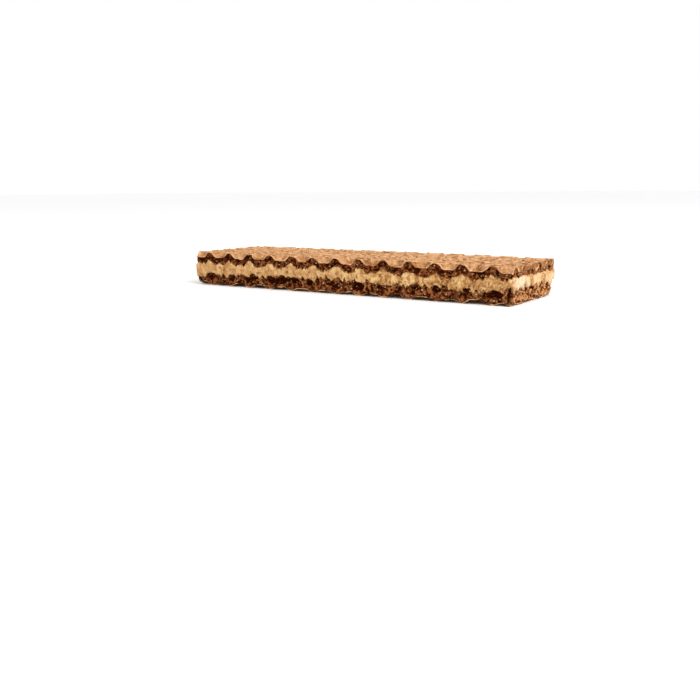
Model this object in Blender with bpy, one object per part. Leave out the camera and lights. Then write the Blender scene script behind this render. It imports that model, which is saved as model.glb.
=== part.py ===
"""A bar of cocoa wafer: two baked wafer sheets with a layer of pale cream between them.

Metres, +Z up. The bar lies flat on z = 0 with the origin under its middle. +X runs along the bar.
Each sheet has a lattice of ridges on its outer face, baked in by the ribbed plates of the oven: the ridges
cross at slanting angles and leave diamond-shaped recesses. The bar is sawn and broken from a wide block,
so that its four sides are rough cuts through both sheets and the cream.
"""

import random

import bpy

MM = 0.001

# Lattice of ridges: the pitch along the bar drives every other size.
RIDGE_PITCH = 5.6 * MM
PITCHES_LONG = 13.4
PITCHES_WIDE = 3.8
PITCHES_THICK = 1.31
ROWS_WIDE = 5.25
FIRST_RIDGE = 0.68  # pitches from the left end to the first crossing on the front edge
RECESS_DEPTH = 0.2 * RIDGE_PITCH
WALL_SHARE = 0.25  # part of a pitch over which a recess falls from ridge to floor

LENGTH = PITCHES_LONG * RIDGE_PITCH
WIDTH = PITCHES_WIDE * RIDGE_PITCH
THICKNESS = PITCHES_THICK * RIDGE_PITCH
ROW_PITCH = WIDTH / ROWS_WIDE

# Layers. The cream is spread thickest at the left end, where it fills the lower sheet's share.
UPPER_SHEET = 0.28 * THICKNESS
LOWER_SHEET = 0.39 * THICKNESS
LEFT_THINNING = 0.11 * THICKNESS
THIN_UNTIL = 0.42 * LENGTH  # from the left end, where the lower sheet reaches its full thickness
INNER_WAVE = 0.06 * THICKNESS  # how far the inner face of a sheet follows its ridges
GAP = 0.3 * MM

# Rough cut sides.
SHEET_CRAG = 0.45 * MM
CREAM_CRAG = 0.28 * MM
EDGE_CRAG = 0.12 * MM
CREAM_PROUD = 0.4 * MM  # what the cream stands out from the sheets at each side
CORNER_WEAR = 0.9 * MM  # lower left corner, rubbed round
SHEET_WALL_ROWS = 3
CREAM_WALL_ROWS = 3

# Sampling of the lattice: four steps to a pitch, so that ridges run along edges of the mesh.
STEPS_PER_PITCH = 4
COARSE = 2


def columns_along():
    """Places along the bar: both ends, and every quarter pitch counted from a ridge crossing."""
    step = RIDGE_PITCH / STEPS_PER_PITCH
    place = FIRST_RIDGE * RIDGE_PITCH % step
    places = [0.0]
    while place < LENGTH - step / 2:
        places.append(place)
        place += step
    places.append(LENGTH)
    return [place - LENGTH / 2 for place in places]


def rows_across():
    """Places across the bar: every quarter row, from the front edge, where a row of crossings is cut."""
    count = round(ROWS_WIDE * STEPS_PER_PITCH)
    return [-WIDTH / 2 + WIDTH * row / count for row in range(count + 1)]


def ridge(x, y):
    """1 on the crest of a ridge, 0 on the floor of a diamond recess."""
    along = (x + LENGTH / 2) / RIDGE_PITCH - FIRST_RIDGE
    across = (y + WIDTH / 2) / ROW_PITCH
    rising = along + across
    falling = along - across
    nearest = min(abs(rising - round(rising)), abs(falling - round(falling)))
    return 1 - min(1, nearest / WALL_SHARE)


def swell(x, y):
    """From -1 under a recess to 1 under a ridge crossing: how the inner faces follow the lattice."""
    return 2 * ridge(x, y) - 1


def top_face(x, y):
    return THICKNESS - RECESS_DEPTH * (1 - ridge(x, y))


def upper_inner_face(x, y):
    return THICKNESS - UPPER_SHEET + INNER_WAVE * swell(x, y)


def lower_inner_face(x, y):
    thin = max(0, 1 - (x + LENGTH / 2) / THIN_UNTIL)
    return LOWER_SHEET - LEFT_THINNING * thin - INNER_WAVE * swell(x, y)


def bottom_face(x, y):
    return RECESS_DEPTH * (1 - ridge(x, y))


def cream_top(x, y):
    return upper_inner_face(x, y) - GAP


def cream_bottom(x, y):
    return lower_inner_face(x, y) + GAP


def finish_of(name, colour, roughness):
    """Matt baked or creamy material with no metal in it."""
    material = bpy.data.materials.new(name)
    material.use_nodes = True
    shader = material.node_tree.nodes["Principled BSDF"]
    shader.inputs["Base Color"].default_value = (*colour, 1)
    shader.inputs["Roughness"].default_value = roughness
    shader.inputs["Metallic"].default_value = 0
    return material


class Layer:
    """One layer of the bar as a closed mesh: two faces on the lattice and a rough wall round them."""

    def __init__(self, name, lower, upper, proud, crag, wall_rows, seed):
        self.name = name
        self.lower = lower
        self.upper = upper
        self.proud = proud
        self.crag = crag
        self.wall_rows = wall_rows
        self.draw = random.Random(seed)
        self.xs = columns_along()
        self.ys = rows_across()
        self.points = []
        self.faces = []

    def add_point(self, column, row, height, outward=0.0):
        """A point over a lattice place. The lower left corner of the bar is worn."""
        x = self.xs[column]
        y = self.ys[row]
        reach = 2 * STEPS_PER_PITCH
        if column < reach:
            low = max(0, 1 - height / LOWER_SHEET)
            x += CORNER_WEAR * low * low * (1 - column / reach) ** 2
        side_x = (column == len(self.xs) - 1) - (column == 0)
        side_y = (row == len(self.ys) - 1) - (row == 0)
        self.points.append((x + side_x * outward, y + side_y * outward, height))
        return len(self.points) - 1

    def used(self, count, crossing, coarse):
        """The columns or rows that a face uses: all, or those with crossings and floors, and both ends."""
        if not coarse:
            return list(range(count))
        return sorted({0, count - 1, *range(crossing % COARSE, count, COARSE)})

    def add_face_grid(self, face, coarse, upward):
        """One face of the layer. Each square is split along its ridge, or else along its level diagonal."""
        first_crossing = sum(x < -LENGTH / 2 + FIRST_RIDGE * RIDGE_PITCH - GAP for x in self.xs)
        columns = self.used(len(self.xs), first_crossing, coarse)
        rows = self.used(len(self.ys), 0, coarse)
        index = {}
        for column in columns:
            for row in rows:
                height = face(self.xs[column], self.ys[row])
                edge = column in (0, columns[-1]) or row in (0, rows[-1])
                outward = self.proud - self.draw.random() * EDGE_CRAG if edge else 0.0
                index[column, row] = self.add_point(column, row, height, outward)
        for left, right in zip(columns, columns[1:]):
            for near, far in zip(rows, rows[1:]):
                corners = [(left, near), (right, near), (right, far), (left, far)]
                crest = [round(ridge(self.xs[c], self.ys[r]), 3) for c, r in corners]
                first = (abs(crest[0] - crest[2]), -crest[0] - crest[2])
                second = (abs(crest[1] - crest[3]), -crest[1] - crest[3])
                a, b, c, d = (index[corner] for corner in corners)
                pair = [(a, b, c), (a, c, d)] if first <= second else [(a, b, d), (b, c, d)]
                self.faces += pair if upward else [(p, r, q) for p, q, r in pair]
        return index

    def perimeter(self):
        """Lattice places round the layer, counter-clockwise seen from above."""
        last_column = len(self.xs) - 1
        last_row = len(self.ys) - 1
        front = [(column, 0) for column in range(last_column)]
        right = [(last_column, row) for row in range(last_row)]
        back = [(column, last_row) for column in range(last_column, 0, -1)]
        left = [(0, row) for row in range(last_row, 0, -1)]
        return front + right + back + left

    def add_wall_ring(self, share):
        """A ring of rough points part of the way up the wall."""
        ring = {}
        for column, row in self.perimeter():
            low = self.lower(self.xs[column], self.ys[row])
            high = self.upper(self.xs[column], self.ys[row])
            height = low + (high - low) * (share + self.draw.uniform(-0.1, 0.1))
            outward = self.proud - self.draw.random() * self.crag
            ring[column, row] = self.add_point(column, row, height, outward)
        return ring

    def add_wall_band(self, below, above):
        """Joins two rings. Where one of them has fewer points, a face takes in all the points of the other."""
        round_trip = self.perimeter()
        shared = [place for place in round_trip if place in below and place in above]
        order = {place: number for number, place in enumerate(round_trip)}
        for place, after in zip(shared, shared[1:] + shared[:1]):
            start = order[place]
            end = order[after] or len(round_trip)
            run = [round_trip[number % len(round_trip)] for number in range(start, end + 1)]
            bottom = [below[spot] for spot in run if spot in below]
            top = [above[spot] for spot in run if spot in above]
            self.faces.append(tuple(bottom + top[::-1]))

    def build(self, coarse_lower, coarse_upper, material):
        rings = [self.add_face_grid(self.lower, coarse_lower, False)]
        for number in range(1, self.wall_rows):
            rings.append(self.add_wall_ring(number / self.wall_rows))
        rings.append(self.add_face_grid(self.upper, coarse_upper, True))
        for below, above in zip(rings, rings[1:]):
            self.add_wall_band(below, above)
        mesh = bpy.data.meshes.new(self.name)
        mesh.from_pydata(self.points, [], self.faces)
        mesh.materials.append(material)
        mesh.update()
        layer = bpy.data.objects.new(self.name, mesh)
        bpy.context.scene.collection.objects.link(layer)
        return layer


def clear_scene():
    for thing in list(bpy.data.objects):
        bpy.data.objects.remove(thing, do_unlink=True)


def main():
    clear_scene()
    cocoa = finish_of("cocoa_wafer", (0.30, 0.145, 0.07), 0.8)
    cream = finish_of("pale_cream", (0.72, 0.50, 0.27), 0.7)

    lower = Layer("lower_wafer", bottom_face, lower_inner_face, 0.0, SHEET_CRAG, SHEET_WALL_ROWS, 11)
    lower.build(False, True, cocoa)

    filling = Layer("cream_filling", cream_bottom, cream_top, CREAM_PROUD, CREAM_CRAG, CREAM_WALL_ROWS, 12)
    filling.build(True, True, cream)

    upper = Layer("upper_wafer", upper_inner_face, top_face, 0.0, SHEET_CRAG, SHEET_WALL_ROWS, 13)
    upper.build(True, False, cocoa)


main()
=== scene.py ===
"""A bar of cocoa wafer with pale cream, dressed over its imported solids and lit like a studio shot."""

import itertools
import math

import bpy
import numpy as np
from mathutils import Matrix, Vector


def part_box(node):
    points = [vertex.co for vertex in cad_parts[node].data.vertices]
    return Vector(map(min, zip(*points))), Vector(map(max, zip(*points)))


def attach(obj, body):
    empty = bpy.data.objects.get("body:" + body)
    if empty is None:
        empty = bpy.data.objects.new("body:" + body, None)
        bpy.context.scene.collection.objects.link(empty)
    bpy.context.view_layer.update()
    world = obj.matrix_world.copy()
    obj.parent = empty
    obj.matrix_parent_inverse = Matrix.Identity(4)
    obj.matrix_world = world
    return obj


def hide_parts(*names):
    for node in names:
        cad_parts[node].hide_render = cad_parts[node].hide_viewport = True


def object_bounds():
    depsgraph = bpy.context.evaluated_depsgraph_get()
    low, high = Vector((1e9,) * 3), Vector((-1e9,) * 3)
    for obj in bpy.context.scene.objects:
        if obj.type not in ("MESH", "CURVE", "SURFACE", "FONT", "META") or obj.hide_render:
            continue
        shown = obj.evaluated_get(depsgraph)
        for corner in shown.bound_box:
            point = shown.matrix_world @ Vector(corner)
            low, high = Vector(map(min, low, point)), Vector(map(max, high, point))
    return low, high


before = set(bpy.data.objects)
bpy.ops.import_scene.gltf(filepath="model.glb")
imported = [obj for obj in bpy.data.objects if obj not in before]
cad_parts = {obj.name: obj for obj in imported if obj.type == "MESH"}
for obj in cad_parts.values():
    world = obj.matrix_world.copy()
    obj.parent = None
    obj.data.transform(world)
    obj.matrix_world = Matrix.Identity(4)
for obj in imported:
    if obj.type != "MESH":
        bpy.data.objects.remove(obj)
cad_low, cad_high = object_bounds()

# Baked relief
# Both sheets are baked between ribbed oven plates, which leave a lattice of narrow ridges with
# diamond-shaped recesses between them. The bar is cut so that a row of crossings runs along its front.
MM = 0.001
sheet_low, sheet_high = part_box("upper_wafer")
LENGTH = sheet_high.x - sheet_low.x
WIDTH = sheet_high.y - sheet_low.y
THICKNESS = cad_high.z - cad_low.z
PITCHES_LONG = 13.4
ROWS_WIDE = 5.25
RIDGE_PITCH = LENGTH / PITCHES_LONG
ROW_PITCH = WIDTH / ROWS_WIDE
FIRST_RIDGE = 0.68  # pitches from the left end to the first crossing on the front edge
RECESS_DEPTH = 0.195 * RIDGE_PITCH
RECESS_WALL = 0.31  # share of a pitch over which a recess falls to its floor
CREST_BLEND = 0.02  # how softly two ridges meet, in pitches
END_REACH = 9 * MM  # over this length at the right end the plate's lattice is drawn out
END_DRAWN = 0.17  # pitches by which it is drawn out along the bar
END_FAN = 0.2  # rows that it gains across the bar
CRUSHED_REACH = 1.8 * MM
MOTTLE_VALUES = 65536
MOTTLE_STRIDES = np.array([73856093, 19349663, 83492791])  # primes, so that neighbours draw unlike values


def lattice_drop(x, y):
    """How far the baked face lies below its crests, in metres."""
    drawn = np.clip((x - LENGTH / 2 + END_REACH) / END_REACH, 0, 1) ** 2
    along = (x + LENGTH / 2) / RIDGE_PITCH - FIRST_RIDGE - END_DRAWN * drawn
    across = (y + WIDTH / 2) * (1 / ROW_PITCH + END_FAN * drawn / WIDTH)
    rising = np.abs(along + across - np.round(along + across))
    falling = np.abs(along - across - np.round(along - across))
    nearest = -CREST_BLEND * np.log(np.exp(-rising / CREST_BLEND) + np.exp(-falling / CREST_BLEND))
    share = np.clip(nearest / RECESS_WALL, 0, 1)
    return RECESS_DEPTH * (0.5 - 0.5 * np.cos(math.pi * share))


def mottle(points, size, seed):
    """Smooth random values from -1 to 1 that change over about this size, in metres."""
    grid = points / size
    cell = np.floor(grid).astype(np.int64)
    part = grid - cell
    part = part * part * (3 - 2 * part)
    values = np.random.default_rng(seed).uniform(-1, 1, MOTTLE_VALUES)
    total = np.zeros(points.shape[:-1])
    for corner in itertools.product((0, 1), repeat=3):
        key = np.bitwise_xor.reduce((cell + np.array(corner)) * MOTTLE_STRIDES, axis=-1)
        weight = np.prod(np.where(corner, part, 1 - part), axis=-1)
        total += weight * values[(key ^ key >> 15) % MOTTLE_VALUES]
    return total


def on_plane(x, y):
    """Points at height 0, for mottle that doesn't change with height."""
    return np.stack([x, y, np.zeros_like(x)], -1)


def crushed_drop(x, y):
    """The lattice of the underside: along the cuts its recesses are crushed and packed with crumb."""
    from_cut = np.minimum(LENGTH / 2 - np.abs(x), WIDTH / 2 - np.abs(y))
    packed = 0.5 + 0.3 * mottle(on_plane(x, y), 4 * MM, 17)
    packed = packed + (0.85 - packed) * np.clip((x - LENGTH / 2 + CRUSHED_REACH) / CRUSHED_REACH, 0, 1)
    return lattice_drop(x, y) * (1 - packed * np.exp(-np.maximum(0, from_cut) / CRUSHED_REACH))


# Wafer skins
# The outside of each sheet is a thin hard skin, pressed smooth by the plate and toasted pale brown.
# It is made as a shell a fifth of a millimetre thick, snapped off unevenly along the four cuts.
FRONT, BACK, LEFT, RIGHT = range(4)
SKIN = 0.22 * MM
SKIN_STEP = 0.2 * MM
SKIN_INSET = -0.27 * MM  # the skin stands out a little over the crumb
SKIN_SAG = 0.05 * MM
BLISTER = 0.06 * MM
SKIN_GRAIN = 0.03 * MM
DROOP = 0.24 * MM  # how far the top skin sinks towards the right end
DROOP_LENGTH = 0.27 * LENGTH
EDGE_MARGIN = 1.5 * MM
CORNER_ROUND = 0.8 * MM
CORNER_DEPTH = 0.12 * MM
CHIP_FREE = 2.5 * MM  # the brittle edge isn't chipped at the corners
FLANK_LOSS = 0.4 * MM
BACK_FLANK_LOSS = 0.18 * MM
BURR = 0.35 * MM  # flakes of the top skin hang this far down over the crumb along the cuts
LEFT_WEAR = 0.9 * MM  # the lower edge of the left end is rubbed off by this much
LEFT_WEAR_HEIGHT = 0.39 * THICKNESS
LEFT_WEAR_LENGTH = 2 * RIDGE_PITCH
BACK_WEAR = 0.55 * MM  # and the lower corner at the right and back by this much
BACK_WEAR_LENGTH = 5 * MM
SOIL_AND_SHADOW_REACH = 5.0 * MM  # how far in from a cut dark crumb and near-black painted shadow lie in the recesses of the underside
BROWNER_REACH = 14 * MM  # the top skin is baked browner over this length at the right end
MOTTLE_SUM = 1.6  # layers of mottle are divided by this, to stay within about -1 to 1


def droop(x):
    """How far the top lies below its full height, in metres: it sinks a little at the right end."""
    return DROOP * np.clip((x - LENGTH / 2 + DROOP_LENGTH) / DROOP_LENGTH, 0, 1) ** 1.4


def layered_mottle(points, size, seed, layers=3):
    """Several sizes of mottle, each half as wide and half as strong as the one before."""
    parts = [mottle(points, size / 2 ** n, seed + n) / 2 ** n for n in range(layers)]
    return sum(parts) / MOTTLE_SUM


def corner_inset(from_corner):
    """How far a cut side falls back beside an upright edge of the bar."""
    return CORNER_DEPTH * np.maximum(0, 1 - from_corner / CORNER_ROUND) ** 1.6


def chips_along(places, total, chips, deepest, seed):
    """Bites out of a brittle edge, so many to a millimetre: mostly shallow, and a few deep ones."""
    draw = np.random.default_rng(seed)
    bite = np.zeros_like(places)
    for _ in range(round(chips * total / MM)):
        middle = draw.uniform(0, total)
        half = draw.uniform(0.12, 0.75) * MM
        deep = deepest * draw.random() ** 2.2
        share = np.maximum(0, 1 - (np.abs(places - middle) / half) ** 2.5)
        bite = np.maximum(bite, deep * share)
    return bite * np.clip(np.minimum(places, total - places) / CHIP_FREE, 0, 1)


def lost_flanks(places, cut, seed):
    """The saw, going to the right, tears the skin off the rising flanks of ridges: front and back only."""
    if cut not in (FRONT, BACK):
        return np.zeros_like(places)
    y, loss = (-WIDTH / 2, FLANK_LOSS) if cut == FRONT else (WIDTH / 2, BACK_FLANK_LOSS)
    rise = -np.gradient(lattice_drop(places, np.full_like(places, y)), places)
    line = on_plane(places, np.full_like(places, cut * 9 * MM))
    torn = np.clip(0.55 + 0.6 * layered_mottle(line, 1.1 * MM, seed + 70, 2), 0, 1)
    return loss * np.clip(rise / 0.5, 0, 1) * torn


def snapped_edges(seed, chips, deepest):
    """A ragged inset along each cut edge, as a brittle skin breaks."""
    def inset_of(places, cut):
        line = on_plane(places, np.full_like(places, cut * 7 * MM))
        coarse = 0.14 * np.abs(layered_mottle(line, 0.9 * MM, seed + cut))
        fine = 0.06 * mottle(line, 0.25 * MM, seed) ** 2
        half = np.abs(places).max()
        chipped = chips_along(places + half, 2 * half, chips, deepest, seed + 40 + cut)
        return SKIN_INSET + (coarse + fine) * MM + np.maximum(chipped, lost_flanks(places, cut, seed))
    return inset_of


def pull_in(x, y, xs, ys, inset_of):
    """Moves the outer margin of a face inwards so that its edge follows the cut."""
    near_front = np.maximum(0, 1 - (y + WIDTH / 2) / EDGE_MARGIN) ** 2
    near_back = np.maximum(0, 1 - (WIDTH / 2 - y) / EDGE_MARGIN) ** 2
    near_left = np.maximum(0, 1 - (x + LENGTH / 2) / EDGE_MARGIN) ** 2
    near_right = np.maximum(0, 1 - (LENGTH / 2 - x) / EDGE_MARGIN) ** 2
    front, back = (inset_of(xs, cut) + corner_inset(LENGTH / 2 - np.abs(xs)) for cut in (FRONT, BACK))
    left, right = (inset_of(ys, cut) + corner_inset(WIDTH / 2 - np.abs(ys)) for cut in (LEFT, RIGHT))
    moved_y = y + near_front * np.interp(x, xs, front) - near_back * np.interp(x, xs, back)
    moved_x = x + near_left * np.interp(y, ys, left) - near_right * np.interp(y, ys, right)
    return moved_x, moved_y


def rubbed_corners(points):
    """Points with the lower edge of the left end rubbed round, and the lower corner at the right and back."""
    low = np.maximum(0, 1 - points[:, 2] / LEFT_WEAR_HEIGHT)
    near_left = np.clip(1 - (points[:, 0] + LENGTH / 2) / LEFT_WEAR_LENGTH, 0, 1)
    from_back = np.hypot(LENGTH / 2 - points[:, 0], WIDTH / 2 - points[:, 1])
    near_back = (low * np.clip(1 - from_back / BACK_WEAR_LENGTH, 0, 1)) ** 1.5
    points = points.copy()
    points[:, 0] += LEFT_WEAR * (low * near_left) ** 2 - BACK_WEAR * near_back
    points[:, 1] -= BACK_WEAR * near_back
    points[:, 2] += 0.6 * BACK_WEAR * near_back
    return points


def make_piece(name, points, faces, marks, material, node):
    """A closed mesh with its point marks, its finish and its place in the frame."""
    mesh = bpy.data.meshes.new(name)
    mesh.from_pydata(rubbed_corners(points.reshape(-1, 3)).tolist(), [], faces)
    for mark, values in marks.items():
        layer = mesh.attributes.new(mark, "FLOAT", "POINT")
        layer.data.foreach_set("value", np.asarray(values, np.float32).ravel())
    mesh.materials.append(material)
    mesh.shade_smooth()
    piece = bpy.data.objects.new(name, mesh)
    bpy.context.scene.collection.objects.link(piece)
    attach(piece, "root")
    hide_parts(node)


def grid_faces(index, upward):
    """Squares of a grid of point numbers."""
    corners = [index[:-1, :-1], index[1:, :-1], index[1:, 1:], index[:-1, 1:]]
    if not upward:
        corners.reverse()
    return np.stack([corner.ravel() for corner in corners], 1)


def outline(index):
    """Point numbers round a grid, counter-clockwise seen from above."""
    return np.concatenate([index[:-1, 0], index[-1, :-1], index[:0:-1, -1], index[0, :0:-1]])


def band_faces(below, above):
    """Squares between two closed rings that run counter-clockwise, with the faces outwards."""
    return np.stack([below, np.roll(below, -1), np.roll(above, -1), above], 1)


class Finish:
    """One finish of a surface: a Principled shader, and the nodes that colour and roughen it."""

    def __init__(self, name, roughness, shine):
        self.material = bpy.data.materials.new(name)
        self.material.use_nodes = True
        self.nodes = self.material.node_tree.nodes
        self.links = self.material.node_tree.links
        self.shader = self.nodes["Principled BSDF"]
        self.shader.inputs["Roughness"].default_value = roughness
        self.shader.inputs["Specular IOR Level"].default_value = shine

    def noise(self, scale, detail=3.0, roughness=0.55, stretch=(1, 1, 1)):
        """Noise in the object's own space, in features per metre."""
        place = self.nodes.new("ShaderNodeTexCoord")
        mapping = self.nodes.new("ShaderNodeMapping")
        mapping.inputs["Scale"].default_value = stretch
        noise = self.nodes.new("ShaderNodeTexNoise")
        noise.inputs["Scale"].default_value = scale
        noise.inputs["Detail"].default_value = detail
        noise.inputs["Roughness"].default_value = roughness
        self.links.new(place.outputs["Object"], mapping.inputs["Vector"])
        self.links.new(mapping.outputs["Vector"], noise.inputs["Vector"])
        return noise.outputs["Fac"]

    def mark(self, name):
        """A value that the points of the mesh carry."""
        mark = self.nodes.new("ShaderNodeAttribute")
        mark.attribute_name = name
        return mark.outputs["Fac"]

    def ramp(self, source, stops):
        """Colours along a value, from (place, colour) pairs. A single number is a grey."""
        ramp = self.nodes.new("ShaderNodeValToRGB")
        while len(ramp.color_ramp.elements) < len(stops):
            ramp.color_ramp.elements.new(0.5)
        for element, (place, colour) in zip(ramp.color_ramp.elements, stops):
            element.position = place
            element.color = (*colour, 1) if isinstance(colour, tuple) else (colour, colour, colour, 1)
        self.links.new(source, ramp.inputs["Fac"])
        return ramp.outputs["Color"]

    def product(self, first, second):
        """One value times another."""
        times = self.nodes.new("ShaderNodeMath")
        times.operation = "MULTIPLY"
        self.links.new(first, times.inputs[0])
        self.links.new(second, times.inputs[1])
        return times.outputs[0]

    def torn(self, mark, scale, reach, stops):
        """A mask with a torn edge: half of a mark with noise added to it, cut off at the given places."""
        total = self.nodes.new("ShaderNodeMath")
        total.operation = "MULTIPLY_ADD"
        total.inputs[1].default_value = reach
        self.links.new(self.noise(scale, 4.0, 0.65), total.inputs[0])
        self.links.new(self.mark(mark), total.inputs[2])
        halved = self.nodes.new("ShaderNodeMath")
        halved.operation = "MULTIPLY"
        halved.inputs[1].default_value = 0.5
        self.links.new(total.outputs[0], halved.inputs[0])
        return self.ramp(halved.outputs[0], stops)

    def coated(self, body, coats):
        """A body colour with coats over it, each a mask and a colour."""
        for mask, colour in coats:
            mix = self.nodes.new("ShaderNodeMix")
            mix.data_type = "RGBA"
            share, under, over = mix.inputs[0], mix.inputs[6], mix.inputs[7]
            self.links.new(mask, share)
            self.links.new(body, under)
            if isinstance(colour, tuple):
                over.default_value = (*colour, 1)
            else:
                self.links.new(colour, over)
            body = mix.outputs[2]
        return body

    def complete(self, colour, grain=None, strength=0.0, distance=0.0):
        """Joins the colour, and a fine grain as bump where there is one, to the shader."""
        self.links.new(colour, self.shader.inputs["Base Color"])
        if grain:
            bump = self.nodes.new("ShaderNodeBump")
            bump.inputs["Strength"].default_value = strength
            bump.inputs["Distance"].default_value = distance
            self.links.new(grain, bump.inputs["Height"])
            self.links.new(bump.outputs["Normal"], self.shader.inputs["Normal"])
        return self.material


def bright(colour, times):
    """The same hue, this many times as bright."""
    return tuple(times * part for part in colour)


def skin_finish(name, pale, tan, toasted, soil_and_shadow, snapped_dark):
    """Matt toasted skin, browner in patches, with painted highlights on the crests, in pale flecks and along
    the cut rim, painted shade in the recesses, and a soil colour, which underneath is crumb with painted
    shadow.
    """
    finish = Finish(name, 0.6, 0.1)
    # painted highlight: the crests are paler, up to half again as bright as the pale colour
    crest = finish.ramp(finish.noise(700, 6.0, 0.68), [(0.41, tan), (0.48, pale), (0.58, bright(pale, 1.5))])
    floor = finish.ramp(finish.noise(460, 6.0, 0.68), [(0.38, toasted), (0.49, tan), (0.61, pale)])
    # painted shade: the recesses take the darker floor colours, by their depth
    painted_recess_shade = finish.ramp(finish.mark("recess_shade"), [(0.02, 0.0), (0.20, 1.0)])
    # painted highlight: pale flecks, brighter than the pale colour
    highlight_flecks = finish.ramp(finish.noise(1000, 5.0, 0.68), [(0.54, 0.0), (0.64, 0.75)])
    scorched = finish.ramp(finish.noise(850, 5.0, 0.70), [(0.38, 1.0), (0.47, 0.0)])
    soiled_and_shaded = finish.torn("soiled_and_shaded", 1100, 1.1, [(0.47, 0.0), (0.57, 0.9)])
    # painted highlight along the cut rim, up to 1.6 times the pale colour, mixed with dark bits
    snapped_rim_and_highlight = finish.ramp(
        finish.noise(600, 4.0, 0.65), [(0.42, snapped_dark), (0.50, pale), (0.60, bright(pale, 1.6))])
    colour = finish.coated(crest, [
        (painted_recess_shade, floor),
        (highlight_flecks, bright(pale, 1.4)),
        (scorched, bright(toasted, 0.75)),
        (soiled_and_shaded, soil_and_shadow),
        (finish.mark("rim"), snapped_rim_and_highlight)])
    return finish.complete(colour, finish.noise(1900, 5.0, 0.68), 0.9, 0.12 * MM)


def rim_share(shape):
    """1 on the cut edge of a grid of this shape, a half on the next points and 0 further in."""
    rim = np.zeros(shape)
    rim[0, :] = rim[-1, :] = rim[:, 0] = rim[:, -1] = 1
    rim[1, :] = rim[-2, :] = rim[:, 1] = rim[:, -2] = 0.5
    return rim


def unevenness(flat, seed):
    """How far a skin lies below its ideal face, in metres: a broad sag, blisters and a fine grain."""
    sag = SKIN_SAG * (0.5 + 0.5 * layered_mottle(flat, 5 * MM, seed + 5))
    blisters = BLISTER * np.abs(layered_mottle(flat, 1.0 * MM, seed + 9))
    grain = SKIN_GRAIN * (0.5 + 0.5 * mottle(flat, 0.32 * MM, seed + 19))
    return sag + blisters + grain


def hanging_flakes(flat, drop, seed):
    """How far the snapped edge hangs over the crumb: most in the recesses and at the right end."""
    broad = mottle(flat, 0.7 * MM, seed + 23)
    fine = 0.4 * mottle(flat, 0.3 * MM, seed + 29)
    more_at_end = 1 + 0.4 * (flat[..., 0] > LENGTH / 2 - MM)
    return BURR * np.clip(broad + fine - 0.1, 0, 1) * more_at_end * (0.3 + 0.7 * drop / RECESS_DEPTH)


def bake_skin(name, crest, outward, edges, material, node, seed):
    """One skin. outward is 1 on top and -1 underneath, and crest is the height of its ridge tops."""
    on_top = outward > 0
    xs = np.linspace(-LENGTH / 2, LENGTH / 2, round(LENGTH / SKIN_STEP) + 1)
    ys = np.linspace(-WIDTH / 2, WIDTH / 2, round(WIDTH / SKIN_STEP) + 1)
    x, y = np.meshgrid(xs, ys, indexing="ij")
    x, y = pull_in(x, y, xs, ys, edges)
    flat = on_plane(x, y)
    drop = lattice_drop(x, y) if on_top else crushed_drop(x, y)
    sunken = droop(x) if on_top else 0
    height = crest - outward * (drop + sunken + unevenness(flat, seed))
    rim = rim_share(x.shape)
    worn = 0.72 + 0.28 * layered_mottle(flat, 0.7 * MM, seed + 13)
    under = height - outward * SKIN * worn * (1 - 0.6 * rim)
    if on_top:
        under = under - hanging_flakes(flat, drop, seed) * np.clip(2 * rim - 1, 0, 1)
    points = np.stack([np.stack([x, y, height], -1), np.stack([x, y, under], -1)])
    index = np.arange(x.size).reshape(x.shape)
    rings = [outline(index + x.size), outline(index)] if on_top else [outline(index), outline(index + x.size)]
    faces = np.concatenate([
        grid_faces(index, on_top), grid_faces(index + x.size, not on_top), band_faces(*rings)])
    # recess depth as a share, which paints shade in the recesses
    recess_shade = np.clip(drop / RECESS_DEPTH, 0, 1)
    from_cut = np.minimum(LENGTH / 2 - np.abs(x), WIDTH / 2 - np.abs(y))
    # crumb in the recesses by the cuts, coloured near black underneath as painted shadow
    crumb_and_shadow = np.clip(1.2 - from_cut / SOIL_AND_SHADOW_REACH, 0, 1) * np.clip(4 * recess_shade, 0, 1)
    browner = 0.46 * np.clip((x - LENGTH / 2 + BROWNER_REACH) / BROWNER_REACH, 0, 1)
    soiled_and_shaded = browner if on_top else crumb_and_shadow
    marks = {"recess_shade": [recess_shade, recess_shade], "rim": [rim, rim], "soiled_and_shaded": [soiled_and_shaded, soiled_and_shaded]}
    make_piece(name, points, faces.tolist(), marks, material, node)


# the underside is a darker copy of the top skin: painted shade under the bar, with near-black painted shadow
# and crumb in the recesses by the cuts
shaded_under_skin = skin_finish(
    "underside_skin_shaded", pale=(0.52, 0.28, 0.130), tan=(0.36, 0.16, 0.060), toasted=(0.20, 0.075, 0.025),
    soil_and_shadow=(0.030, 0.0075, 0.0019), snapped_dark=(0.06, 0.016, 0.004))
top_skin = skin_finish(
    "toasted_skin", pale=(0.555, 0.315, 0.158), tan=(0.45, 0.203, 0.068), toasted=(0.27, 0.098, 0.028),
    soil_and_shadow=(0.23, 0.080, 0.024), snapped_dark=(0.27, 0.103, 0.034))
bake_skin(
    "lower_skin", crest=0.0, outward=-1, edges=snapped_edges(100, chips=1.4, deepest=1.1 * MM),
    material=shaded_under_skin, node="lower_wafer", seed=100)
bake_skin(
    "upper_skin", crest=THICKNESS, outward=1, edges=snapped_edges(200, chips=1.2, deepest=0.55 * MM),
    material=top_skin, node="upper_wafer", seed=200)

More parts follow.
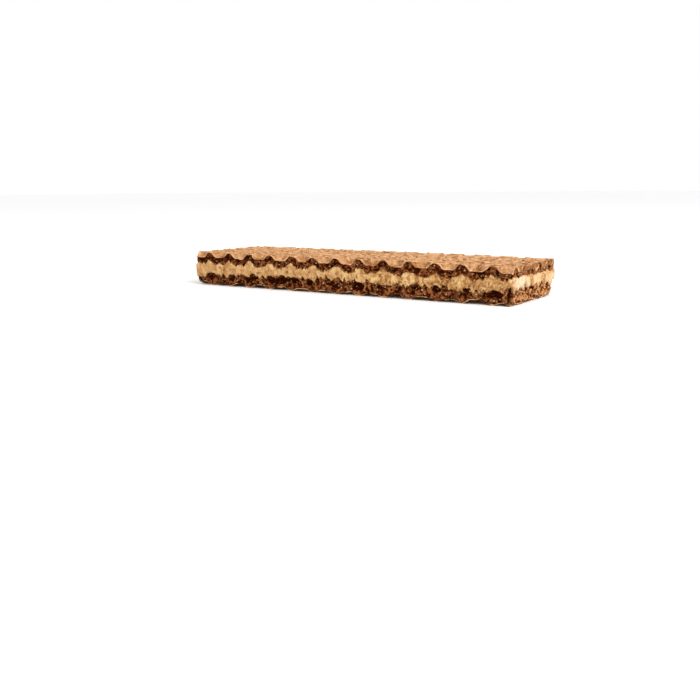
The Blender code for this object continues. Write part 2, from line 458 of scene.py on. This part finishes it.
# Cut sides
# The bar is sawn from a wide block along its front and back, and broken off at its ends. Saw and break drag
# the soft cream over the brittle crumb, so the layers meet in ragged borders, beside large open cells.
UPPER_SHEET = 0.28 * THICKNESS
LOWER_SHEET = 0.39 * THICKNESS
LEFT_THINNING = 0.11 * THICKNESS  # the lower sheet is thinnest at the left end, under the thickest cream
THIN_UNTIL = 0.42 * LENGTH
UPPER_WAVE = 0.06 * THICKNESS  # how far the inner faces follow the ridges
LOWER_WAVE = 0.036 * THICKNESS
SIDE_STEP = 0.11 * MM
CAP_SHARE = 3  # the hidden faces have one point for every three along the sides
SIDE_COLUMNS = CAP_SHARE * round(LENGTH / SIDE_STEP / CAP_SHARE)
SIDE_ROWS = CAP_SHARE * round(WIDTH / SIDE_STEP / CAP_SHARE)
SIDE_TURN = 1.2 * MM  # beside an upright edge the way inwards turns over this length
END_FADE = 0.5 * MM  # the ends pass into front and back over this length
CREAM_RAGGED = 0.42 * MM
CREAM_SLUMP_REACH = 2.2 * MM
LEAST_SHEET = 0.5 * MM  # a ragged point of the cream leaves at least this much of the sheet


def swell(x, y):
    """From -1 under a recess to 1 under a ridge."""
    return 1 - 2 * lattice_drop(x, y) / RECESS_DEPTH


def upper_border(x, y):
    return THICKNESS - UPPER_SHEET + UPPER_WAVE * swell(x, y)


def lower_border(x, y):
    thin = np.maximum(0, 1 - (x + LENGTH / 2) / THIN_UNTIL)
    return LOWER_SHEET - LEFT_THINNING * thin - LOWER_WAVE * swell(x, y)


def side_places():
    """Places round the bar, counter-clockwise from the front left corner, and for each the way inwards, its
    arc and its rounding."""
    xs = np.linspace(-LENGTH / 2, LENGTH / 2, SIDE_COLUMNS + 1)
    ys = np.linspace(-WIDTH / 2, WIDTH / 2, SIDE_ROWS + 1)
    x, y = np.meshgrid(xs, ys, indexing="ij")
    ring = outline(np.arange(x.size).reshape(x.shape))
    place = np.stack([x.ravel()[ring], y.ravel()[ring]], 1)
    from_end = LENGTH / 2 - np.abs(place[:, 0])
    from_flank = WIDTH / 2 - np.abs(place[:, 1])
    inward = np.stack([-np.sign(place[:, 0]) * np.maximum(0, 1 - from_end / SIDE_TURN),
                       -np.sign(place[:, 1]) * np.maximum(0, 1 - from_flank / SIDE_TURN)], 1)
    inward /= np.linalg.norm(inward, axis=1)[:, None]
    step = np.linalg.norm(place - np.roll(place, 1, axis=0), axis=1)
    rounding = corner_inset(np.maximum(from_end, from_flank))
    return place, inward, np.cumsum(step) - step[0], rounding


side_place, side_inward, side_arc, side_rounding = side_places()
side_x, side_y = side_place.T
side_line = on_plane(side_x, side_y)
side_drop = lattice_drop(side_x, side_y)
on_right_end = np.clip((side_x - LENGTH / 2 + END_FADE) / END_FADE, 0, 1)
on_left_end = np.clip((-side_x - LENGTH / 2 + END_FADE) / END_FADE, 0, 1)
on_ends = np.maximum(on_left_end, on_right_end)


def hump(arc, reach):
    """1 at this arc along the sides, fading to nothing within about twice this reach."""
    return np.exp(-((side_arc - arc) / reach) ** 2)


def spikes(seed):
    """Ragged variation along the sides, with points outwards, as a smear torn by the saw."""
    broad = layered_mottle(side_line, 2.2 * MM, seed, 2)
    torn = 1 - 2.6 * np.abs(mottle(side_line, 0.75 * MM, seed + 8))
    fine = 1 - 2.2 * np.abs(mottle(side_line, 0.33 * MM, seed + 16))
    return 0.5 * broad + 0.5 * torn + 0.3 * fine


def cells_under_ridges(level, spread, radii, seed):
    """Large cells of the foam, where a ridge makes the sheet thick: arc, height, radius, depth, slimness."""
    draw = np.random.default_rng(seed)
    end_arcs = side_arc[on_right_end + on_left_end > 0.5]
    crests = [n for n in range(1, len(side_drop) - 1)
              if side_drop[n] <= side_drop[n - 1] and side_drop[n] < side_drop[n + 1]
              and side_drop[n] < 0.2 * RECESS_DEPTH]
    cells = []
    for n in crests:
        on_end = np.abs(end_arcs - side_arc[n]).min() < 0.01 * MM
        for _ in range(draw.integers(0, 2) if on_end else draw.integers(1, 4)):
            radius = draw.uniform(*radii) * (0.7 if on_end else 1)
            arc = side_arc[n] + draw.normal(0, 1.2) * MM
            height = level + draw.normal(0, 1) * spread
            cells.append((arc, height, radius, 0.45 * radius, draw.uniform(0.5, 1.1)))
    return cells


def cells_of_right_end(*cells):
    """Large cells set one by one: arc past the front corner, height, radius and depth in mm, and slimness."""
    return [(LENGTH + arc * MM, height * MM, radius * MM, depth * MM, slimness)
            for arc, height, radius, depth, slimness in cells]


lower_cells = cells_under_ridges(2.15 * MM, 0.3 * MM, (0.45 * MM, 0.95 * MM), 71)
lower_cells += cells_of_right_end(
    (0.3, 3.1, 0.55, 0.8, 0.8), (0.3, 1.9, 0.8, 0.9, 0.9), (6.3, 3.1, 0.5, 0.5, 0.8),
    (10.4, 2.4, 0.45, 0.35, 0.7), (14.6, 2.8, 0.5, 0.35, 0.8), (17.6, 2.2, 0.7, 0.6, 0.9))
upper_cells = cells_under_ridges(6.0 * MM, 0.3 * MM, (0.15 * MM, 0.4 * MM), 72)
upper_cells += cells_of_right_end(
    (0.9, 5.9, 0.3, 0.4, 0.7), (2.6, 5.5, 0.4, 0.4, 0.8), (4.9, 6.4, 0.35, 0.35, 0.6),
    (7.6, 6.1, 0.35, 0.35, 0.7), (9.8, 5.7, 0.4, 0.4, 0.7), (12.5, 6.2, 0.4, 0.35, 0.9),
    (15.7, 5.9, 0.45, 0.4, 0.6), (18.8, 5.6, 0.45, 0.4, 0.8))
slumped = hump(LENGTH + WIDTH, CREAM_SLUMP_REACH)  # the cream slumps at the right end's back corner


def cream_top_border():
    """Upper border of the cream: ragged, low on the right of the front, and level along the right end."""
    ragged = CREAM_RAGGED * (1 - 0.3 * on_right_end) * (spikes(31) - 0.3)
    low_stretch = 0.35 * MM * np.exp(-((side_x / LENGTH - 0.29) / 0.1) ** 2)
    levelled = 0.8 * UPPER_WAVE * on_right_end * swell(side_x, side_y)
    lumps = 0.5 * MM * on_right_end * (layered_mottle(side_line, 2.6 * MM, 91, 2) - 0.3)
    torn_out = 0.5 * MM * on_right_end * hump(LENGTH + 3 * MM, 1.2 * MM)
    border = upper_border(side_x, side_y) + ragged + lumps
    border = border - low_stretch - levelled - torn_out - 0.3 * MM * slumped
    return np.minimum(border, THICKNESS - side_drop - LEAST_SHEET)


def cream_low_border(cells):
    """Lower border of the cream: torn points, low on the right of the front, and kept out of large cells."""
    ragged = 1.9 * CREAM_RAGGED * (spikes(51) + 0.18)
    low_stretch = 0.35 * MM * np.clip((side_x / LENGTH - 0.22) / 0.12, 0, 1) * (1 - on_right_end)
    lumps = 0.3 * MM * on_right_end * layered_mottle(side_line, 2.6 * MM, 95, 2)
    border = lower_border(side_x, side_y) - ragged - low_stretch + lumps - 1.2 * MM * slumped
    for arc, height, radius, _, slimness in cells:
        half_height = np.sqrt(np.maximum(0, radius ** 2 - ((side_arc - arc) * slimness) ** 2))
        border = np.maximum(border, np.where(half_height > 0, height + 0.85 * half_height, 0))
    return np.maximum(border, side_drop + LEAST_SHEET)


cream_top_edge = cream_top_border()
cream_low_edge = cream_low_border(lower_cells)

# Porous crumb
# Inside its skin each sheet is a dry dark foam of cocoa batter. The saw and the break open its cells, so
# the cut sides are full of round hollows, thin cell walls and crags.
CREAM_PROUD = (cad_high.x - cad_low.x - LENGTH) / 2  # what the cream stands out from the sheets
CRUMB_INSET = 0.2 * MM
END_INSET = -0.15 * MM  # at both ends the crumb is broken, not sawn, and stands further out
CRUMB_ROUGH = 0.16 * MM
CRUMB_RINGS = 26
CRUMB_CELLS = (0.08 * MM, 0.42 * MM)
CELLS_PER_SQUARE_MM = 9.0
DEEPEST_HOLLOW = 1.3 * MM
BEHIND_CREAM = 0.6 * MM  # the crumb goes on this far past its border, behind the cream
BEHIND_INSET = 0.5 * MM
END_DUST_REACH = 2.0 * MM  # pale dust lies on the broken right end, from this far round its front corner
INSIDE_SKIN = 0.27 * MM
CRUMB_WALL = (0.37, 0.127, 0.038)
CRUMB_MID = (0.150, 0.033, 0.0062)
CRUMB_DARK = (0.038, 0.0047, 0.0004)
CRUMB_DUST = (0.58, 0.275, 0.106)
# pale specks, partly grains and partly painted glints
CRUMB_SPECK_AND_GLINT = (0.68, 0.40, 0.21)
CREAM_SMEAR = (0.41, 0.195, 0.070)


def side_points(heights):
    """The points of the sides at these heights, ring by ring."""
    points = np.broadcast_to(side_line, heights.shape + (3,)).copy()
    points[..., 2] = heights
    return points


def open_cells(heights, sizes, density, seed, large=()):
    """Depth of the hollows that the cut opens, for rings of points at these heights."""
    draw = np.random.default_rng(seed)
    depth = np.zeros_like(heights)
    low, high = heights.min(), heights.max()
    points = side_points(heights)
    wobble = 1 + 0.35 * layered_mottle(points, 0.4 * MM, seed + 1, 2)
    wobble += 0.2 * mottle(points, 1.1 * MM, seed + 7)
    total = side_arc[-1]
    cells = list(large)
    for _ in range(round(density * total / MM * (high - low) / MM)):
        arc = draw.uniform(0, total)
        height = draw.uniform(low, high)
        radius = sizes[0] + (sizes[1] - sizes[0]) * draw.random() ** 2
        cells.append((arc, height, radius, draw.uniform(-0.5, 0.6) * radius, draw.uniform(0.7, 1.4)))
    for arc, height, radius, behind, slimness in cells:
        first, last = np.searchsorted(side_arc, [arc - 2 * radius, arc + 2 * radius])
        if last - first < 2:
            continue
        aside = (side_arc[first:last] - arc) * slimness
        away = ((heights[:, first:last] - height) ** 2 + aside ** 2) * wobble[:, first:last] ** 2
        inside = away < radius ** 2
        bowl = behind + np.sqrt(np.where(inside, radius ** 2 - away, 0))
        part = depth[:, first:last]
        np.maximum(part, np.where(inside, bowl, 0), out=part)
    return depth


def cap_faces(coarse, fine_ring, upward):
    """A hidden face: squares inside, and at its edge faces that take in every point of the side ring."""
    columns, rows = coarse.shape[0] - 1, coarse.shape[1] - 1
    edges = [(i, 0, FRONT) for i in range(columns)]
    edges += [(columns - 1, j, RIGHT) for j in range(rows)]
    edges += [(i, rows - 1, BACK) for i in reversed(range(columns))]
    edges += [(0, j, LEFT) for j in reversed(range(rows))]
    start_of = {edge: CAP_SHARE * number for number, edge in enumerate(edges)}
    faces = []
    for i, j in itertools.product(range(columns), range(rows)):
        corners = {FRONT: coarse[i, j], RIGHT: coarse[i + 1, j],
                   BACK: coarse[i + 1, j + 1], LEFT: coarse[i, j + 1]}
        loop = []
        for side, corner in corners.items():
            loop.append(int(corner))
            if (i, j, side) in start_of:
                start = start_of[i, j, side]
                loop += [int(fine_ring[(start + n) % len(fine_ring)]) for n in range(1, CAP_SHARE)]
        faces.append(loop if upward else loop[::-1])
    return faces


def rough_layer(name, heights, insets, low_face, high_face, marks, material, node):
    """A closed layer: rings of rough points up its sides, and a hidden face below and above."""
    rings, per_ring = heights.shape
    flat = side_place + side_inward * (insets + side_rounding)[..., None]
    wall = np.concatenate([flat, heights[..., None]], -1)
    numbers = np.arange(rings * per_ring).reshape(rings, per_ring)
    faces = []
    for below, above in zip(numbers, numbers[1:]):
        faces += band_faces(below, above).tolist()
    xs = np.linspace(-LENGTH / 2, LENGTH / 2, SIDE_COLUMNS // CAP_SHARE + 1)
    ys = np.linspace(-WIDTH / 2, WIDTH / 2, SIDE_ROWS // CAP_SHARE + 1)
    points = [wall.reshape(-1, 3)]
    made = rings * per_ring
    for ring, face, upward in ((0, low_face, False), (rings - 1, high_face, True)):
        inset = max(0, insets[ring].mean())
        x, y = np.meshgrid(xs, ys, indexing="ij")
        x, y = pull_in(x, y, xs, ys, lambda places, cut: np.full_like(places, inset))
        inner = np.stack([x, y, face(x, y)], -1)[1:-1, 1:-1]
        coarse = np.zeros(x.shape, int)
        coarse[1:-1, 1:-1] = made + np.arange(inner[..., 0].size).reshape(inner.shape[:2])
        edge = outline(np.arange(x.size).reshape(x.shape))
        coarse.ravel()[edge] = numbers[ring][::CAP_SHARE]
        faces += cap_faces(coarse, numbers[ring], upward)
        points.append(inner.reshape(-1, 3))
        made += inner[..., 0].size
    hidden = np.zeros(made - rings * per_ring)
    marks = {key: np.concatenate([values.ravel(), hidden]) for key, values in marks.items()}
    make_piece(name, np.concatenate(points), faces, marks, material, node)
    return wall


def crumb_finish():
    """Dry porous cocoa crumb: brown cell walls, nearly black in the hollows as painted shade, with a few pale
    specks that are partly grains and partly painted glints.
    """
    finish = Finish("cocoa_crumb", 0.85, 0.02)
    cells = finish.ramp(finish.noise(1300, 4.0, 0.65), [(0.40, CRUMB_DARK), (0.62, CRUMB_MID)])
    walls = finish.ramp(finish.noise(1700, 3.0, 0.6), [(0.38, CRUMB_MID), (0.62, CRUMB_WALL)])
    dust = finish.ramp(finish.noise(1400, 4.0, 0.68), [(0.43, 0.0), (0.54, 1.0)])
    # painted shade: the hollows are coloured darker by their depth, down to nearly black
    deep = finish.ramp(finish.mark("hollow_shade"), [(0.2, 0.0), (0.75, 1.0)])
    hollow_shade_colour = finish.ramp(
        finish.noise(1500, 4.0, 0.65), [(0.54, CRUMB_DARK), (0.66, CRUMB_MID), (0.78, CRUMB_WALL)])
    smear = finish.torn("smear", 1300, 1.3, [(0.80, 0.0), (0.88, 0.9)])
    # pale specks, partly grains and partly painted glints
    specks_and_glints = finish.ramp(finish.noise(1900, 1.0, 0.5), [(0.68, 0.0), (0.75, 0.9)])
    colour = finish.coated(cells, [
        (finish.mark("wall"), walls),
        (finish.product(finish.mark("dust"), dust), CRUMB_DUST),
        (deep, hollow_shade_colour),
        (smear, CREAM_SMEAR),
        (specks_and_glints, CRUMB_SPECK_AND_GLINT)])
    return finish.complete(colour, finish.noise(4200, 4.0), 0.7, 0.08 * MM)


cocoa_crumb = crumb_finish()


def crumb_insets(heights, share, hollows, past_border, seed):
    """How far the crumb lies inside the box of its sheet: sawn or broken, and further in behind the cream."""
    sawn_or_broken = CRUMB_INSET + (END_INSET - CRUMB_INSET) * on_ends
    rough = CRUMB_ROUGH * layered_mottle(side_points(heights), 0.8 * MM, seed, 3)
    settle = np.minimum(1, np.minimum(share, 1 - share) * CRUMB_RINGS / 2)
    insets = np.maximum(sawn_or_broken + (rough + hollows) * settle, 0.02 * MM - CREAM_PROUD)
    return insets + BEHIND_INSET * np.clip(past_border / (0.3 * MM), 0, 1)


def crumb_marks(heights, border, hollows, pale, dust, end_dust, seed):
    """Where the crumb shows painted shade in its hollows, pale walls, dust and cream. It is darker towards
    the left end.
    """
    past_corner = np.clip((side_arc - LENGTH) / END_DUST_REACH, 0, 1) * on_right_end
    to_left = np.clip((-side_x / LENGTH - 0.2) / 0.3, 0, 1)
    to_right = np.clip(2 * side_x / LENGTH - 0.3, 0, 1)
    dusty = dust + end_dust * past_corner + 0.15 * layered_mottle(side_line, 5 * MM, seed + 60)
    dusty = dusty + 0.15 * (pale - 0.5) * to_right - 0.15 * to_left
    near_border = 1.15 * (1 - np.abs(heights - border) / (1.1 * MM))
    return {"hollow_shade": np.clip(hollows / (0.5 * MM), 0, 1),
            "wall": pale * (1 - 0.5 * to_left) * np.clip(1 - hollows / (0.1 * MM), 0, 1),
            "dust": np.clip(np.broadcast_to(dusty, heights.shape), 0, 1),
            "smear": np.clip(near_border, 0, 1) * (1 - 0.4 * on_right_end)}


def crumb_sheet(name, node, low, high, border, cells, pale, dust, end_dust, seed):
    """The crumb of one sheet. low and high are each its edge along the sides and its hidden face."""
    low_edge, low_face = low
    high_edge, high_face = high
    share = np.linspace(0, 1, CRUMB_RINGS + 1)[:, None]
    heights = low_edge + (high_edge - low_edge) * share
    hollows = open_cells(heights, CRUMB_CELLS, CELLS_PER_SQUARE_MM, seed + 3, cells)
    shallower = 1 - 0.15 * on_right_end * (side_arc > LENGTH + 1.5 * MM)
    hollows = np.minimum(hollows, DEEPEST_HOLLOW) * shallower
    skin_above = border.mean() < heights.mean()
    past_border = border - heights if skin_above else heights - border
    insets = crumb_insets(heights, share, hollows, past_border, seed)
    x, y = np.moveaxis(side_place + side_inward * (insets + side_rounding)[..., None], -1, 0)
    # No crag of the crumb stands through the skin beside it.
    if skin_above:
        heights = np.minimum(heights, high_face(x, y))
    else:
        heights = np.maximum(heights, low_face(x, y))
    marks = crumb_marks(heights, border, hollows, pale, dust, end_dust, seed)
    return rough_layer(name, heights, insets, low_face, high_face, marks, cocoa_crumb, node)


def under_top_skin(x, y):
    return THICKNESS - lattice_drop(x, y) - droop(x) - INSIDE_SKIN


def over_low_skin(x, y):
    return crushed_drop(x, y) + INSIDE_SKIN


lower_crumb_side = crumb_sheet(
    "lower_crumb", "lower_wafer",
    low=(over_low_skin(side_x, side_y), over_low_skin), high=(cream_low_edge + BEHIND_CREAM, lower_border),
    border=cream_low_edge, cells=lower_cells, pale=1.0, dust=0.16, end_dust=0.95, seed=300)
upper_crumb_side = crumb_sheet(
    "upper_crumb", "upper_wafer",
    low=(cream_top_edge - BEHIND_CREAM, upper_border), high=(under_top_skin(side_x, side_y), under_top_skin),
    border=cream_top_edge, cells=upper_cells, pale=0.75, dust=0.0, end_dust=0.4, seed=400)

# Cream filling
# Grainy fat cream, spread between the sheets while soft. The saw drags it over the crumb in ragged
# points, and it stands a little proud of the sheets on every side.
CREAM_RINGS = 24
CREAM_TUCK = 0.42 * MM  # its borders are drawn in by this much
CREAM_HOLLOW = 0.75 * MM  # how far its hidden faces lie inside its borders
CREAM_LUMPS = 0.14 * MM
CREAM_DRAG = 0.06 * MM
CREAM_PORES = (0.08 * MM, 0.36 * MM)
CREAM_PITS = (0.1 * MM, 0.38 * MM)  # where the cream broke, at the right end
DEEPEST_PORE = 0.3 * MM
END_BULGE = 0.1 * MM
FRESH_MIDDLE = 3.5 * MM  # the broken end shows fresh white cream here, from the front right corner
FRESH_REACH = 4.5 * MM
CREAM_FRESH = (0.74, 0.565, 0.365)
CREAM_WHITE = (0.79, 0.58, 0.345)
CREAM_PALE = (0.75, 0.490, 0.224)
CREAM_TAN = (0.58, 0.320, 0.132)
CREAM_BODY = (0.55, 0.300, 0.106)
CREAM_OCHRE = (0.36, 0.155, 0.041)
CREAM_BROWN = (0.21, 0.073, 0.019)
CREAM_STAIN = (0.17, 0.054, 0.014)


def cream_finish():
    """Grainy cream: pale on the broken end and ochre and streaked where the saw rubbed cocoa crumb into it;
    the difference is partly painted light on the end and painted shade on the sawn sides, and pores and
    grooves take painted shade.
    """
    finish = Finish("pale_cream", 0.6, 0.12)
    # the broken right end, which faces the key light, is paler partly as painted light
    broken_and_lit = finish.ramp(
        finish.noise(520, 4.0, 0.6), [(0.36, CREAM_OCHRE), (0.46, CREAM_TAN), (0.60, CREAM_WHITE)])
    sawn_and_shaded = finish.ramp(
        finish.noise(720, 6.0, 0.72, (1, 1, 0.9)),
        [(0.35, CREAM_BROWN), (0.42, CREAM_OCHRE), (0.50, CREAM_BODY), (0.58, CREAM_PALE)])
    streaks = finish.ramp(finish.noise(1300, 4.0, 0.65, (1, 1, 0.7)), [(0.57, 0.0), (0.67, 0.8)])
    calm = finish.ramp(finish.mark("soiled_and_shaded"), [(0.0, 0.4), (0.2, 0.0)])
    worked_in = finish.torn("soiled_and_shaded", 1100, 1.2, [(0.58, 0.0), (0.64, 0.65)])
    fresh = finish.torn("fresh", 700, 1.3, [(0.62, 0.0), (0.78, 1.0)])
    drawn_out = finish.torn("soiled_and_shaded", 1900, 1.2, [(0.63, 0.0), (0.70, 0.8)])
    pressed_in = finish.torn("soiled_and_shaded", 1500, 1.2, [(0.64, 0.0), (0.68, 0.8)])
    dust = finish.ramp(finish.noise(1800, 2.0, 0.6), [(0.68, 0.0), (0.76, 0.7)])
    rubbed = finish.torn("rubbed", 1000, 1.6, [(0.83, 0.0), (0.91, 0.9)])
    colour = finish.coated(broken_and_lit, [
        (finish.mark("sawn_and_shaded"), sawn_and_shaded),
        (streaks, CREAM_PALE),
        (calm, CREAM_TAN),
        (worked_in, CREAM_OCHRE),
        (fresh, CREAM_FRESH),
        (drawn_out, CREAM_PALE),
        (pressed_in, CREAM_BROWN),
        (dust, CREAM_STAIN),
        # painted shade in the pores and grooves, partly cocoa in the grooves
        (finish.mark("recess_shade"), CREAM_BROWN),
        (rubbed, CREAM_STAIN)])
    return finish.complete(colour, finish.noise(3400, 4.0), 0.7, 0.08 * MM)


def spread_cream():
    """The cream between its two borders, with lumps, drag marks and pores on its sides."""
    share = np.linspace(0, 1, CREAM_RINGS + 1)[:, None]
    heights = cream_low_edge + (cream_top_edge - cream_low_edge) * share
    points = side_points(heights)
    lumps = CREAM_LUMPS * (1 + layered_mottle(points, 1.2 * MM, 501, 4))
    drag = CREAM_DRAG * (1 + layered_mottle(points * [1, 1, 0.5], 0.5 * MM, 503, 2))
    pores = open_cells(heights, CREAM_PORES, 0.6, 505)
    pits = 0.8 * open_cells(heights, CREAM_PITS, 0.8, 507) * on_right_end
    pores = DEEPEST_PORE * np.tanh(np.maximum(pores, pits) / DEEPEST_PORE)
    tuck = CREAM_TUCK * np.abs(2 * share - 1) ** 6
    bulge = 1.15 * CREAM_PROUD + END_BULGE * on_ends + side_rounding
    insets = np.maximum(0.01 * MM - CREAM_PROUD, tuck + lumps + drag + pores - bulge)
    past_corner = np.clip((side_arc - LENGTH + 0.6 * MM) / (0.8 * MM), 0, 1)
    # share of the sawn sides, darker partly from cocoa and partly as painted shade
    sawn_and_shaded = 1 - 0.9 * past_corner * (side_arc < LENGTH + WIDTH)
    soiled_and_shaded = 0.66 * sawn_and_shaded * np.clip((side_x + 0.05 * LENGTH) / (0.5 * LENGTH), 0, 1)
    fresh = hump(LENGTH + FRESH_MIDDLE, FRESH_REACH)
    grooves = np.clip((lumps + drag) / (0.22 * MM) - 1, 0, 1)
    # painted shade: pores and grooves are darkened by depth, the grooves more where the cream is soiled with
    # cocoa
    pore_shade = pores / (0.45 * MM) * (1 - 0.35 * on_right_end)
    from_edge = np.minimum(heights - cream_low_edge, cream_top_edge - heights)
    marks = {"recess_shade": np.clip(pore_shade + (0.3 * sawn_and_shaded + 0.6 * soiled_and_shaded) * grooves, 0, 1),
             "rubbed": np.clip(1 - from_edge / (0.8 * MM), 0, 1) * (0.6 + 0.4 * sawn_and_shaded),
             "sawn_and_shaded": np.broadcast_to(sawn_and_shaded, heights.shape),
             "soiled_and_shaded": np.broadcast_to(soiled_and_shaded, heights.shape),
             "fresh": np.broadcast_to(fresh, heights.shape)}
    return rough_layer(
        "cream_body", heights, insets, lambda x, y: lower_border(x, y) + CREAM_HOLLOW,
        lambda x, y: upper_border(x, y) - CREAM_HOLLOW, marks, cream_finish(), "cream_filling")


cream_side = spread_cream()

# Loose grains
# Sawing leaves grains of cream stuck to the crumb and crumbs of cocoa wafer stuck to the cream. Each grain
# is a small crushed lump, half sunk into the side that it sticks to.
GRAIN_LEVEL = 1 / math.sqrt(5)  # the two rings of a lump's points lie this far above and below its middle
GRAIN_RING = 2 * GRAIN_LEVEL  # and this is their radius, for a lump of radius 1


def grain_lump():
    """The lump that every grain starts from: a tip above and below, and two rings of five points between."""
    tip, foot = (0, 0, 1), (0, 0, -1)
    turns = [math.radians(72 * n) for n in range(5)] + [math.radians(72 * n + 36) for n in range(5)]
    levels = [GRAIN_LEVEL] * 5 + [-GRAIN_LEVEL] * 5
    rings = [(GRAIN_RING * math.cos(turn), GRAIN_RING * math.sin(turn), level)
             for turn, level in zip(turns, levels)]
    cap, band, base = [], [], []
    for n in range(5):
        high, next_high = 1 + n, 1 + (n + 1) % 5
        low, next_low = high + 5, next_high + 5
        cap.append((0, high, next_high))
        band += [(high, low, next_high), (next_high, low, next_low)]
        base.append((low, 11, next_low))
    return np.round([tip, *rings, foot], 2), np.array(cap + band + base)


GRAIN_POINTS, GRAIN_FACES = grain_lump()


def grain_finish(name, light, dark):
    """Matt grains, some light and some dark."""
    finish = Finish(name, 0.7, 0.1)
    return finish.complete(finish.ramp(finish.noise(1400, 2.0), [(0.42, dark), (0.58, light)]))


def stick_grains(name, walls, count, sizes, material, node, seed):
    """Small irregular grains, half sunk into the rough sides and kept inside the box of the solids."""
    draw = np.random.default_rng(seed)
    low = np.array(cad_low) + 0.01 * MM
    high = np.array(cad_high) - 0.01 * MM
    points, faces = [], []
    for number in range(count):
        wall = walls[number % len(walls)]
        place = wall[draw.integers(2, wall.shape[0] - 2), draw.integers(wall.shape[1])]
        size = sizes[0] + (sizes[1] - sizes[0]) * draw.random() ** 2
        shape = GRAIN_POINTS * draw.uniform(0.6, 1.2, 3) + draw.uniform(-0.25, 0.25, GRAIN_POINTS.shape)
        points.append(np.clip(place + shape * size, low, high))
        faces.append(GRAIN_FACES + number * len(GRAIN_POINTS))
    make_piece(name, np.concatenate(points), np.concatenate(faces).tolist(), {}, material, node)


cream_grain = grain_finish("cream_grain", light=(0.84, 0.56, 0.30), dark=(0.58, 0.29, 0.10))
cocoa_grain = grain_finish("cocoa_grain", light=(0.22, 0.088, 0.030), dark=(0.06, 0.018, 0.005))
stick_grains(
    "cream_grains", [lower_crumb_side, upper_crumb_side, lower_crumb_side], count=520,
    sizes=(0.06 * MM, 0.2 * MM), material=cream_grain, node="cream_filling", seed=81)
stick_grains(
    "cocoa_grains", [cream_side], count=240,
    sizes=(0.05 * MM, 0.17 * MM), material=cocoa_grain, node="upper_wafer", seed=82)

# Studio
# A plain white floor in white surroundings, as in a light tent, and one soft square light that hangs to
# the right of the bar and a little in front of it.
FLOOR_HALF = 3.0
KEY_PLACE = (0.40, -0.10, 0.32)
KEY_SIZE = 0.35
KEY_POWER = 1.7


def build_floor():
    """A level floor, white with a trace of grey."""
    mesh = bpy.data.meshes.new("studio_floor")
    corners = [(-FLOOR_HALF, -FLOOR_HALF, 0), (FLOOR_HALF, -FLOOR_HALF, 0),
               (FLOOR_HALF, FLOOR_HALF, 0), (-FLOOR_HALF, FLOOR_HALF, 0)]
    mesh.from_pydata(corners, [], [(0, 1, 2, 3)])
    finish = Finish("white_floor", 0.9, 0.1)
    shade = finish.ramp(finish.noise(3, 1.0), [(0.0, 0.955), (1.0, 0.965)])
    mesh.materials.append(finish.complete(shade))
    floor = bpy.data.objects.new("studio_floor", mesh)
    bpy.context.scene.collection.objects.link(floor)


def hang_key_light():
    """A square light that faces the bar."""
    light = bpy.data.lights.new("key_light", "AREA")
    light.size = KEY_SIZE
    light.energy = KEY_POWER
    lamp = bpy.data.objects.new("key_light", light)
    bpy.context.scene.collection.objects.link(lamp)
    lamp.location = KEY_PLACE
    lamp.rotation_euler = (-lamp.location).to_track_quat("-Z", "Y").to_euler()


def whiten_surroundings():
    world = bpy.data.worlds.new("white_room")
    world.use_nodes = True
    world.node_tree.nodes["Background"].inputs["Color"].default_value = (1, 1, 1, 1)
    world.node_tree.nodes["Background"].inputs["Strength"].default_value = 1.0
    bpy.context.scene.world = world


build_floor()
hang_key_light()
whiten_surroundings()
bpy.context.scene.view_settings.view_transform = "Standard"

# Camera
# A camera that looks slightly down on the front and the right end. Its place, roll and lens are fitted to
# the bar's corners and ridges as the photograph shows them, at the photograph's framing.
CAMERA_ROUND = math.radians(33.44)
CAMERA_DOWN = math.radians(10.89)
CAMERA_ROLL = math.radians(-0.48)
CAMERA_AWAY = 31.967 * RIDGE_PITCH
CAMERA_ASIDE = -0.55 * RIDGE_PITCH
CAMERA_RAISED = -2.316 * RIDGE_PITCH
FOCAL_PIXELS = 844.7
FRAME_PIXELS = 700
SENSOR = 36.0


def place_camera():
    back = np.array([math.sin(CAMERA_ROUND) * math.cos(CAMERA_DOWN),
                     -math.cos(CAMERA_ROUND) * math.cos(CAMERA_DOWN), math.sin(CAMERA_DOWN)])
    right = np.array([math.cos(CAMERA_ROUND), math.sin(CAMERA_ROUND), 0.0])
    up = np.cross(back, right)
    place = back * CAMERA_AWAY + right * CAMERA_ASIDE + up * CAMERA_RAISED
    rolled_right = right * math.cos(CAMERA_ROLL) + up * math.sin(CAMERA_ROLL)
    rolled_up = up * math.cos(CAMERA_ROLL) - right * math.sin(CAMERA_ROLL)
    matrix = np.eye(4)
    matrix[:3] = np.column_stack([rolled_right, rolled_up, back, place])
    lens = bpy.data.cameras.new("camera")
    lens.sensor_width = SENSOR
    lens.lens = FOCAL_PIXELS / FRAME_PIXELS * SENSOR
    lens.clip_start = 0.005
    camera = bpy.data.objects.new("camera", lens)
    bpy.context.scene.collection.objects.link(camera)
    camera.matrix_world = Matrix(matrix.tolist())
    bpy.context.scene.camera = camera


place_camera()
